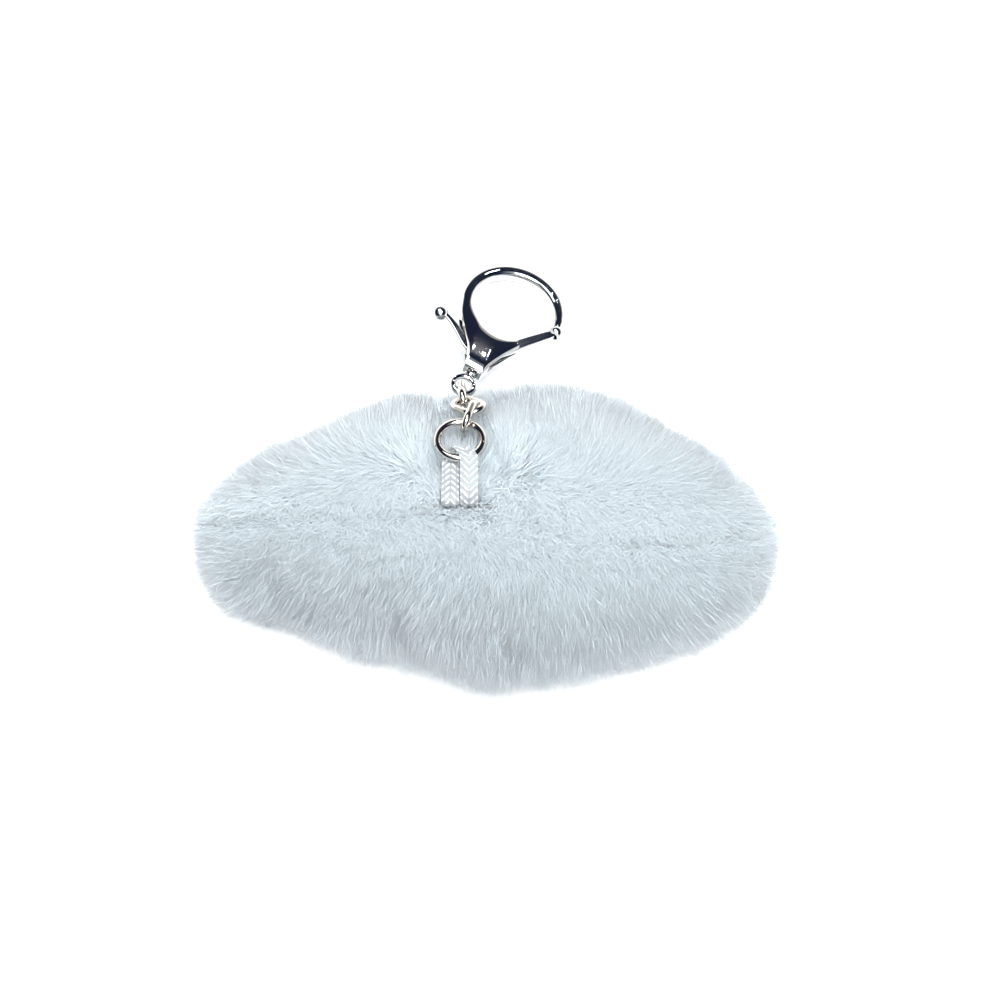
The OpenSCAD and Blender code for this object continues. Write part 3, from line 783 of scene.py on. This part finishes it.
class KEYCHAIN_OT_threads(bpy.types.Operator):
    """Sew the seams and the ribbon's bar tack"""

    bl_idname = "keychain.threads"
    bl_label = "Seam Threads"

    @staticmethod
    def spine(t):
        """The backings' edges along the top seam."""
        return (upper_point(-1, t, np.zeros_like(t), PILE) + upper_point(1, t, np.zeros_like(t), PILE)) / 2 - [0, 0,
                0.3]

    @staticmethod
    def edge(a):
        """The backings' edges round the waist."""
        return np.stack([(edge_radius(a) - PILE) * np.cos(a), (edge_radius(a) - PILE) * np.sin(a),
                         np.full(a.shape, WAIST_Z)], -1)

    def execute(self, context):
        thread = thread_material()
        put_material(["ribbon_bar_tack"], thread)
        for name, node, path, turns in (
            ("spine_stitches_left", "spine_seam_thread", lambda s: self.spine(mix(0.06, 0.40, s)), 26),
            ("spine_stitches_right", "spine_seam_thread", lambda s: self.spine(mix(0.51, 0.94, s)), 32),
            ("edge_stitches", "edge_seam_thread", lambda s: self.edge(math.radians(287) + s * math.radians(321)),
             150),
            ("closing_ladder", "closing_stitches", lambda s: self.edge(math.radians(250) + s * math.radians(35)), 9),
        ):
            s = np.linspace(0, 1, turns * (12))
            middle = path(s)
            along = unit(np.gradient(middle, axis=0))
            side = unit(np.cross(along, [[0, 0, 1.0]]))
            up = np.cross(side, along)
            swing = 2 * np.pi * turns * s[:, None]
            line = middle + 0.9 * np.cos(swing) * side + 0.55 * np.sin(swing) * up
            piece = tube(name, line, along, 0.22, thread, sides=6)
            finish_piece(piece, "plush", [node])
        return {"FINISHED"}


def hermite(a, ta, b, tb, t):
    """A cubic from a to b with those end tangents."""
    t = t[:, None]
    return (1 + t * t * (2 * t - 3)) * a + t * (1 + t * (t - 2)) * ta + t * t * (3 - 2 * t) * b + t * t * (t - 1) * tb


def ribbon_path():
    """The ribbon's middle line: up out of the seam, under the jump ring's near wire, round it in a half
    turn, and back over into the seam.
    """
    left, right = RIBBON_X
    tail = np.linspace(0, 1, 24, endpoint=False)[:, None]
    up = np.array([left, ROOT_Y, RIBBON_TOP - RIBBON_TAIL]) + tail * [0, 0, RIBBON_TAIL - 0.6]
    t = np.linspace(0, 1, 60, endpoint=False)
    lower = hermite(np.array([left, ROOT_Y, RIBBON_TOP - 0.6]), np.array([0, 2.0, 6.5]),
                    np.array([left, RING_NEAR[1], RING_NEAR[2] - FOLD_R]), np.array([0, 10.0, -2.0]), t)
    f = np.linspace(-np.pi / 2, np.pi / 2, 50)
    fold = np.stack([mix(left, right, (f / np.pi + 0.5)), RING_NEAR[1] + FOLD_R * np.cos(f),
                     RING_NEAR[2] + FOLD_R * np.sin(f)], -1)
    upper = hermite(np.array([right, RING_NEAR[1], RING_NEAR[2] + FOLD_R]), np.array([0, -9.0, 0]),
                    np.array([right, ROOT_Y, RIBBON_TOP - 0.6]), np.array([0, -2.0, -7.5]), np.linspace(0, 1, 60)[1:])
    down = np.array([right, ROOT_Y, RIBBON_TOP - 0.6]) - tail[1:] * [0, 0, RIBBON_TAIL - 0.6]
    return np.concatenate([up, lower, fold, upper, down])


class KEYCHAIN_OT_ribbon(bpy.types.Operator):
    """Weave the ribbon from its sewn-in ends round the jump ring"""

    bl_idname = "keychain.ribbon"
    bl_label = "Woven Ribbon"

    def execute(self, context):
        settings = context.scene.keychain_ribbon
        rough = ribbon_path()
        gone = np.concatenate([[0], np.cumsum(np.linalg.norm(np.diff(rough, axis=0), axis=1))])
        steps = np.linspace(0, gone[-1], 460)
        path = np.stack([np.interp(steps, gone, rough[:, k]) for k in range(3)], -1)
        along = unit(np.gradient(path, axis=0) * [0, 1, 1])
        out = np.stack([np.zeros(len(path)), -along[:, 2], along[:, 1]], -1)
        wide = 27
        w = np.linspace(-1, 1, wide)
        # A chevron: floats repeat by the pitch along the ribbon, and slide back by the distance from the middle rib.
        phase = 2 * np.pi * (steps[:, None] / (settings.weave_pitch / MM) + np.abs(w)[None] * 1.15)
        column = np.abs(np.sin(np.pi * 1.5 * w))[None] ** 0.6
        float_height = (0.5 + 0.5 * np.cos(phase)) ** 1.4 * mix(0.15, 1.0, column)
        float_height = mix(float_height, 0.5 + 0.5 * np.cos(phase * 2), smooth((np.abs(w)[None] - 0.9) / 0.1))
        round_edge = np.sqrt(np.maximum(0.0, 1 - np.abs(w) ** 6))[None]
        half = RIBBON_T / 2 * mix(0.35, 1.0, round_edge) - settings.weave_depth / MM
        sides = []
        for sign in (1, -1):
            rise = half + settings.weave_depth / MM * float_height * round_edge
            sides.append(path[:, None] + np.array([1.0, 0, 0]) * (w * RIBBON_W / 2)[None, :, None] + sign
                         * out[:, None] * rise[..., None])
        ring = np.concatenate([sides[0], sides[1][:, ::-1]], 1)
        n, k = ring.shape[:2]
        points = ring.reshape(-1, 3)
        faces = capped(n, k)
        # The float height, which the ribbon's material turns into painted shade in the grooves and painted light on
        # the floats.
        weave = np.concatenate([float_height, float_height[:, ::-1]], 1)
        piece = put_mesh("woven_ribbon", points, outwards(points, faces), ribbon_material(settings),
                         weave=weave.ravel())
        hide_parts("ribbon_loop", "ribbon_tails")
        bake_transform(piece)
        return {"FINISHED"}


# The findings, as in the CAD source.
RING_CENTRE = np.array([-6.8, 17.0, 32.55])
RING_AXES = np.array([[1, 0, 0], [0, math.cos(math.radians(30)), -0.5], [0, 0.5, math.cos(math.radians(30))]])
RING_R, RING_WIRE, SLIT, SLIT_ANGLE = 4.925, 1.65, 0.15, 200
LINK_L, LINK_W, LINK_WIRE = 9.0, 6.2, 1.7
LINKS = {
    "chain_link_1": ((-5.02464, 22.5739, 29.1341), (0.269908, 0.78387, -0.559193), (0.945519, -0.325568, 0)),
    "chain_link_2": ((-5.14447, 25.62, 25.5811), (-0.662922, 0.350999, -0.661312), (-0.1806, 0.7818, 0.5969)),
    "chain_link_3": ((-6.27447, 28.313, 21.2971), (-0.0329946, 0.524435, -0.850811),
                     (-0.980171, -0.183399, -0.0750348)),
}
CLASP_BASE = np.array([-4.57139, 34.4435, 16.7825])
CLASP_AXES = np.array([[0.866025, -0.5, 0], [0.439409, 0.761078, -0.477159], [0.238579, 0.413232, 0.878817]])
HOOK_V, HOOK_OR, HOOK_IR, HOOK_T, BODY_T = 21.0, 12.2, 9.4, 3.2, 4.8
BEAD, BEAD_R = np.array([10.97, 21.77]), 1.6
PIVOT = np.array([0.3, 5.2])
LEVER_T, PIN_D, SLOT_T = 2.0, 1.5, 2.3
EYE_V, EYE_R, EYE_WIRE = -4.0, 2.35, 1.4


def round_curve(knots, per, closed=False):
    """A Catmull-Rom curve through the knots, with this many points from each to the next."""
    k = np.asarray(knots, float)
    k = np.concatenate([k[-1:], k, k[:2]]) if closed else np.concatenate([2 * k[:1] - k[1:2], k,
                                                                          2 * k[-1:] - k[-2:-1]])
    t = np.linspace(0, 1, per, endpoint=False)[:, None]
    parts = [0.5 * (2 * k[n + 1] + t * (k[n + 2] - k[n] + t * (2 * k[n] - 5 * k[n + 1] + 4 * k[n + 2] - k[n + 3]
             + t * (3 * (k[n + 1] - k[n + 2]) + k[n + 3] - k[n])))) for n in range(len(k) - 3)]
    return np.concatenate(parts if closed else [*parts, k[-2:-1]])


def clasp_space(points):
    """Places on the clasp, across, along and out of its face, in the CAD part's frame."""
    return CLASP_BASE + np.asarray(points) @ CLASP_AXES


def round_plate(outline, thick, edge):
    """A flat plate with rounded edges: the outline is drawn in by the edge radius less its cosine, as it
    rises by its sine.
    """
    ahead = np.roll(outline, -1, 0) - np.roll(outline, 1, 0)
    inward = unit(np.stack([-ahead[:, 1], ahead[:, 0]], -1))
    if (outline[:, 0] * np.roll(outline[:, 1], -1) - outline[:, 1] * np.roll(outline[:, 0], -1)).sum() < 0:
        inward = -inward
    rings = []
    for half, angles in ((-1, np.linspace(-90, 0, 6)), (1, np.linspace(0, 90, 6))):
        for a in np.radians(angles):
            height = half * (thick / 2 - edge) + edge * math.sin(a)
            rings.append(np.concatenate([outline + inward * edge * (1 - math.cos(a)),
                                         np.full((len(outline), 1), height)], 1))
    n = len(outline)
    return np.concatenate(rings), capped(len(rings), n, -1)


def ball(centre, radius, rows=20):
    """A sphere of quads with a small flat face at each pole."""
    v, a = np.meshgrid(np.linspace(-np.pi / 2 + 0.08, np.pi / 2 - 0.08, rows),
                       np.linspace(0, 2 * np.pi, 2 * rows, endpoint=False), indexing="ij")
    points = np.asarray(centre) + radius * np.stack([np.cos(v) * np.cos(a), np.cos(v) * np.sin(a), np.sin(v)], -1)
    return points.reshape(-1, 3), capped(rows, 2 * rows, -1)


def prism(outline, low, high):
    """A straight prism on an outline, from one height to another."""
    outline = np.asarray(outline, float)
    n = len(outline)
    points = np.concatenate([np.concatenate([outline, np.full((n, 1), z)], 1) for z in (low, high)])
    return points, capped(2, n, -1)


def disc(centre, radius, n=48):
    """A circle's points."""
    a = np.linspace(0, 2 * np.pi, n, endpoint=False)
    return np.asarray(centre) + radius * around(a)


def lathe(profile, n=32):
    """A profile of radius and height turned round the second axis, with a flat face at each end."""
    profile = np.asarray(profile, float)
    a = np.linspace(0, 2 * np.pi, n, endpoint=False)[None]
    points = np.stack([profile[:, :1] * np.cos(a), np.repeat(profile[:, 1:], n, 1), profile[:, :1] * np.sin(a)], -1)
    return points.reshape(-1, 3), capped(len(profile), n)


def machined(name, start, steps, material, sharp=35):
    """The start shape with each step's shape joined to it or cut from it. All are in the clasp's space."""
    def made(label, shape):
        points = clasp_space(shape[0])
        return put_mesh(label, points, outwards(points, shape[1]), material)

    piece = made(name, start)
    tools = []
    for k, (operation, shape) in enumerate(steps):
        tools.append(made(f"{name}_tool_{k}", shape))
        cut = piece.modifiers.new(f"step_{k}", "BOOLEAN")
        cut.operation, cut.solver, cut.object = operation, "EXACT", tools[-1]
    bpy.context.view_layer.update()
    mesh = bpy.data.meshes.new_from_object(piece.evaluated_get(bpy.context.evaluated_depsgraph_get()))
    piece.modifiers.clear()
    old, piece.data = piece.data, mesh
    bpy.data.meshes.remove(old)
    for tool in tools:
        bpy.data.meshes.remove(tool.data)
    mesh.name = name
    mesh.shade_smooth()
    mesh.set_sharp_from_angle(angle=math.radians(sharp))
    return piece


class KEYCHAIN_OT_chain(bpy.types.Operator):
    """Bend the split jump ring and the three oval links from round wire"""

    bl_idname = "keychain.chain"
    bl_label = "Jump Ring and Chain"

    def execute(self, context):
        settings = context.scene.keychain_metal
        nickel = nickel_material("nickel_wire",
                                 tuple(c * w for c, w in zip(settings.metal_colour, (1.04, 0.99, 0.92))),
                                 settings.polish * 1.4, 0.06)
        gap = SLIT / 2 / RING_R
        a = math.radians(SLIT_ANGLE) + np.linspace(gap, 2 * np.pi - gap, 97)
        line = RING_CENTRE + RING_R * (np.cos(a)[:, None] * RING_AXES[0] + np.sin(a)[:, None] * RING_AXES[1])
        finish_piece(tube("split_ring", line, RING_AXES[2], RING_WIRE / 2, nickel), "ring", ["jump_ring"])
        half, bend = (LINK_L - LINK_W) / 2, (LINK_W - LINK_WIRE) / 2
        for name, (middle, ahead, normal) in LINKS.items():
            ahead, normal = unit(np.array(ahead)), np.array(normal)
            normal = unit(normal - ahead * (normal @ ahead))
            wide = np.cross(normal, ahead)
            a = np.linspace(-np.pi / 2, np.pi / 2, 25)
            end = np.stack([half + bend * np.cos(a), bend * np.sin(a)], -1)
            flat = np.concatenate([end, np.stack([np.linspace(half, -half, 8)[1:-1], np.full(6, bend)], -1), -end,
                                   np.stack([np.linspace(-half, half, 8)[1:-1], np.full(6, -bend)], -1)])
            line = np.array(middle) + flat[:, :1] * ahead + flat[:, 1:] * wide
            piece = tube(name.replace("chain_", "oval_"), line, normal, LINK_WIRE / 2, nickel, closed=True)
            finish_piece(piece, name.replace("chain_", ""), [name])
        return {"FINISHED"}


class KEYCHAIN_OT_clasp(bpy.types.Operator):
    """Cast the clasp's body and hook, its swivel eye, and its V trigger"""

    bl_idname = "keychain.clasp"
    bl_label = "Swivel Clasp"

    @staticmethod
    def casting():
        """The hook's ring runs into the body: each section spans from the ring's inner circle to the outer
        edge, with rounded corners.

        The tip swells into a bead, whose sections are those of a sphere.
        """
        tip_n, arc_n, foot_n, leg_n, corners = 14, 110, 13, 14, 40
        bead_mid, plain = 11.0, 0.35
        tip = np.linspace(-0.999, 0.55, tip_n) * BEAD_R
        tip_angle = math.radians(4) + tip / bead_mid
        arc = np.radians(np.linspace(16, 196, arc_n))
        ring = np.concatenate([tip_angle, arc])
        mid = np.concatenate([np.full(tip_n, bead_mid), np.full(arc_n, (HOOK_OR + HOOK_IR) / 2)])
        bead = np.sqrt(BEAD_R ** 2 - tip ** 2) * 2
        wide = np.concatenate([bead, np.full(arc_n, HOOK_OR - HOOK_IR)])
        thick = np.concatenate([bead, np.full(arc_n, HOOK_T)])
        spoke = around(ring)
        outer = [0, HOOK_V] + (mid + wide / 2)[:, None] * spoke
        inner = [0, HOOK_V] + (mid - wide / 2)[:, None] * spoke
        left = round_curve([(-11.73, 17.64), (-9.9, 13.0), (-6.9, 8.6), (-4.1, 4.9), (-2.55, 2.0), (-2.1, 0.0)],
                           leg_n)[1:]
        foot = np.stack([np.linspace(-2.1, 2.1, foot_n + 1)[1:], np.zeros(foot_n)], -1)
        right = round_curve([(2.1, 0.0), (2.5, 2.2), (3.3, 5.2), (4.5, 8.6), (5.9, 11.8)], leg_n)[1:]
        body = np.concatenate([left, foot, right])
        spans = ((196, 248, len(left)), (248, 266, foot_n), (266, 301, len(right)))
        turn = np.radians(np.concatenate([np.linspace(start, end, n + 1)[1:] for start, end, n in spans]))
        outer = np.concatenate([outer, body])
        inner = np.concatenate([inner, [0, HOOK_V] + HOOK_IR * around(turn)])
        grow = smooth(np.linspace(0, 1, len(left)) * 1.15)
        body_t = np.concatenate([mix(HOOK_T, BODY_T, grow), np.full(foot_n, BODY_T),
                                 mix(BODY_T, BODY_T - 0.6, smooth(np.linspace(0, 1, len(right))))])
        thick = np.concatenate([thick, body_t])
        round_share = np.concatenate([np.zeros(tip_n), np.full(arc_n, plain), mix(plain, 1.0, grow),
                                      np.ones(foot_n + len(right))])
        round_share[:34] = mix(0.0, round_share[34], smooth(np.arange(34) / 33.0 - 0.3))
        a = np.linspace(0, 2 * np.pi, corners, endpoint=False)
        power = 2 / mix(2.0, 5.0, round_share)[:, None]
        px, py = np.sign(np.cos(a)) * np.abs(np.cos(a)) ** power, np.sign(np.sin(a)) * np.abs(np.sin(a)) ** power
        centre, half = (outer + inner) / 2, (outer - inner) / 2
        flat = centre[:, None] + half[:, None] * px[..., None]
        # The body thins again towards its foot.
        fall = mix(0.80, 1.0, smooth((flat[..., 1:] + 0.5) / 3.0))
        points = np.concatenate([flat, thick[:, None, None] / 2 * py[..., None] * fall], -1)
        return points.reshape(-1, 3), capped(len(points), corners, -1)

    def execute(self, context):
        settings = context.scene.keychain_metal
        colour = tuple(settings.metal_colour)
        nickel = nickel_material("polished_nickel", colour, settings.polish, 0.05)
        slot = SLOT_T / 2

        def spread(*places):
            return [PIVOT, *[PIVOT + r * np.array([math.cos(math.radians(a)), math.sin(math.radians(a))]) for r,
                             a in places]]

        body = machined("cast_body", self.casting(), [
            ("DIFFERENCE", prism(disc(PIVOT, 2.35), -slot, slot)),
            ("DIFFERENCE", prism(spread((3.6, -40), (7, 36), (20, 50), (20, 90)), -slot, slot)),
            ("DIFFERENCE", prism(spread((20, 144), (14, 180), (5, 218), (2.6, 238)), -slot, slot)),
            ("DIFFERENCE", prism(disc(PIVOT, PIN_D / 2 + 0.02, 32), -4, 4)),
            ("DIFFERENCE", lathe([(0.83, -1.0), (0.83, 3.0)])),
            ("DIFFERENCE", lathe([(1.45, 1.9), (1.45, 2.86)])),
        ], nickel)
        finish_piece(body, "clasp", ["clasp_body"])

        a = np.linspace(0, 2 * np.pi, 64, endpoint=False)
        line = np.stack([EYE_R * np.cos(a), EYE_V + EYE_R * np.sin(a), np.zeros(64)], -1)
        across = np.stack([np.cos(a), np.sin(a), np.zeros(64)], -1)
        hoop = swept(line, across, np.repeat([[0.0, 0, 1]], 64, 0), np.full(64, EYE_WIRE), np.full(64, EYE_WIRE),
                     oval_profile(20), closed=True)
        stem = lathe([(0.75, EYE_V + EYE_R - 0.3), (0.75, -0.95), (1.2, -0.95), (1.35, -0.8), (1.35, -0.3),
                      (1.2, -0.15), (0.75, -0.15),
                      (0.75, 2.05), (1.3, 2.05), (1.3, 2.5), (1.0, 2.7)])
        eye = machined("turned_eye", hoop, [("UNION", stem)], nickel)
        finish_piece(eye, "eye", ["swivel_eye"])

        outline = round_curve([(0.95, 7.2), (2.2, 10.0), (3.9, 13.0), (6.6, 16.9), (9.3, 20.5), (10.3, 21.1),
                               (11.3, 20.3), (9.6, 17.5), (7.6, 14.4), (5.7, 11.4),
                               (3.7, 7.9), (2.35, 5.0), (1.5, 3.5), (0.2, 3.1), (-1.3, 3.8), (-3.3, 4.2),
                               (-5.4, 5.1), (-8.7, 7.55), (-11.4, 9.2), (-13.4, 9.6), (-13.6, 10.5), (-13.0, 11.1),
                               (-11.0, 10.6),
                               (-8.1, 9.25), (-4.8, 7.25), (-2.0, 6.55), (-0.7, 7.1), (0.1, 7.3)], 6, closed=True)
        head = BEAD.tolist() + [0.0]
        lever = machined("v_trigger", round_plate(outline, LEVER_T, 0.4), [
            ("UNION", ball((-13.4, 10.3, 0), 1.85)),
            ("DIFFERENCE", ball(head, BEAD_R + 0.4)),
            ("DIFFERENCE", prism(disc(PIVOT, PIN_D / 2 + 0.06, 32), -3, 3)),
            ("DIFFERENCE", prism(disc(PIVOT, 1.6, 40), -3, 0)),
            ("DIFFERENCE", prism(spread((3.2, 86), (3.2, 126)), -3, 0)),
        ], nickel)
        finish_piece(lever, "trigger", ["trigger_lever"])
        put_material(["trigger_pin"], nickel)
        put_material(["trigger_spring"], nickel_material("spring_wire", tint(colour, 0.85), 0.2, 0.08))
        return {"FINISHED"}


class KEYCHAIN_OT_stage(bpy.types.Operator):
    """Set the floor, the soft lights and the camera"""

    bl_idname = "keychain.stage"
    bl_label = "Stage"

    def execute(self, context):
        settings = context.scene.keychain_stage
        scene = context.scene
        scene.view_settings.view_transform = "Standard"
        floor_paint, tree, shader = new_material("floor_paint", Roughness=0.9, Specular_IOR_Level=0.1,
                                                 Emission_Color=(1, 1, 1, 1), Emission_Strength=0.14)
        noise = object_noise(tree, 3.0)
        base = tuple(settings.floor_colour)
        ramp = add_ramp(tree, noise.outputs["Fac"], [(0.3, tint(base, 0.995)), (0.7, base)])
        tree.links.new(ramp.outputs["Color"], shader.inputs["Base Color"])
        bpy.ops.mesh.primitive_plane_add(size=8.0)
        floor = context.active_object
        floor.name = "floor"
        floor.data.materials.append(floor_paint)

        world = bpy.data.worlds.new("studio")
        scene.world = world
        world.use_nodes = True
        tree = world.node_tree
        back = tree.nodes["Background"]
        place = add_node(tree, "TexCoord")
        split = add_node(tree, "SeparateXYZ")
        tree.links.new(place.outputs["Generated"], split.inputs["Vector"])
        ramp = add_ramp(tree, split.outputs["Z"],
                        [(0.0, (0.80, 0.77, 0.71)), (0.14, (0.70, 0.68, 0.64)), (0.27, (0.02, 0.028, 0.055)),
                                                   (0.72, (0.012, 0.018, 0.045)), (0.9, (0.5, 0.55, 0.6)),
                                                   (1.0, (0.8, 0.85, 0.9))])
        tree.links.new(ramp.outputs["Color"], back.inputs["Color"])
        back.inputs["Strength"].default_value = 1.0

        def area(name, place, target, wide, high, power, colour=(1, 1, 1)):
            data = bpy.data.lights.new(name, "AREA")
            data.shape, data.size, data.size_y = "RECTANGLE", wide, high
            data.energy, data.color = power, colour
            lamp = bpy.data.objects.new(name, data)
            scene.collection.objects.link(lamp)
            lamp.location = place
            lamp.rotation_mode = "QUATERNION"
            lamp.rotation_quaternion = (Vector(target) - Vector(place)).to_track_quat("-Z", "Y")

        for name, place, wide, high, share in (("key", (0.06, 0.08, 1.10), 0.6, 0.6, 1.0),
                                               ("back", (-0.18, 0.60, 0.80), 0.5, 0.35, 0.14),
                                               ("fill", (0.1, -0.62, 0.85), 0.6, 0.4, 0.05)):
            area(name, place, (0, 0, 0.01), wide, high, settings.key_power * share, (0.96, 0.985, 1.0))

        aim = Vector((0.00176, 0.0058, 0.018))
        field, sensor = 0.2203, 36.0  # the width seen at the aim, in metres, and the camera's sensor, in mm
        distance = field * settings.lens / sensor
        camera = bpy.data.objects.new("camera", bpy.data.cameras.new("camera"))
        scene.collection.objects.link(camera)
        camera.data.lens = settings.lens
        camera.data.clip_start, camera.data.clip_end = 0.01, 20.0
        back_way = Vector((0.0, -math.cos(settings.elevation), math.sin(settings.elevation)))
        camera.location = aim + back_way * distance
        camera.rotation_mode = "QUATERNION"
        camera.rotation_quaternion = (-back_way).to_track_quat("-Z", "Y")
        scene.camera = camera

        # Two small bulbs that the clasp's face mirrors to the camera: a lamp's direction is twice the normal's share
        # of the view direction along the normal, less the view direction, and a small turn moves its glint.
        glare = 220
        for name, place, turn, wide, high in (("long_bulb", (-0.2, 3.6, 2.4), (-0.02, -0.03), 0.004, 0.014),
                                              ("round_bulb", (2.3, 6.6, 2.4), (0.036, -0.012), 0.0065, 0.0065)):
            seen = Vector(clasp_space([place])[0] * MM)
            view = (camera.location - seen).normalized()
            across, along, normal = (Vector(axis) for axis in CLASP_AXES)
            away = (2 * view.dot(normal) * normal - view + turn[0] * across + turn[1] * along).normalized()
            area(name, seen + 0.8 * away, seen, wide, high, glare * math.pi * wide * high)
        return {"FINISHED"}


class KEYCHAIN_PT_panel(bpy.types.Panel):
    """Lists the keychain's settings and the buttons that build its pieces"""

    bl_label = "Plush Keychain"
    bl_idname = "KEYCHAIN_PT_panel"
    bl_space_type = "VIEW_3D"
    bl_region_type = "UI"
    bl_category = "Plush Keychain"

    def draw(self, context):
        for name in SETTINGS:
            box = self.layout.box()
            group = getattr(context.scene, name)
            for key in group.__annotations__:
                box.prop(group, key)
        for operator in OPERATORS:
            self.layout.operator(operator.bl_idname)


SETTINGS = {"keychain_fur": FurSettings, "keychain_ribbon": RibbonSettings, "keychain_metal": MetalSettings,
            "keychain_stage": StageSettings}
OPERATORS = (KEYCHAIN_OT_backing, KEYCHAIN_OT_fur, KEYCHAIN_OT_threads, KEYCHAIN_OT_ribbon, KEYCHAIN_OT_chain,
             KEYCHAIN_OT_clasp, KEYCHAIN_OT_stage)


def register():
    """Registers the settings, the operators and the panel."""
    for group in (*SETTINGS.values(), *OPERATORS, KEYCHAIN_PT_panel):
        bpy.utils.register_class(group)
    for name, group in SETTINGS.items():
        setattr(bpy.types.Scene, name, bpy.props.PointerProperty(type=group))


def unregister():
    """Takes them all out again."""
    for name in SETTINGS:
        delattr(bpy.types.Scene, name)
    for group in (KEYCHAIN_PT_panel, *reversed(OPERATORS), *SETTINGS.values()):
        bpy.utils.unregister_class(group)


def main():
    register()
    bpy.ops.keychain.backing()
    bpy.ops.keychain.fur()
    bpy.ops.keychain.threads()
    bpy.ops.keychain.ribbon()
    bpy.ops.keychain.chain()
    bpy.ops.keychain.clasp()
    bpy.ops.keychain.stage()


if __name__ == "__main__":
    main()
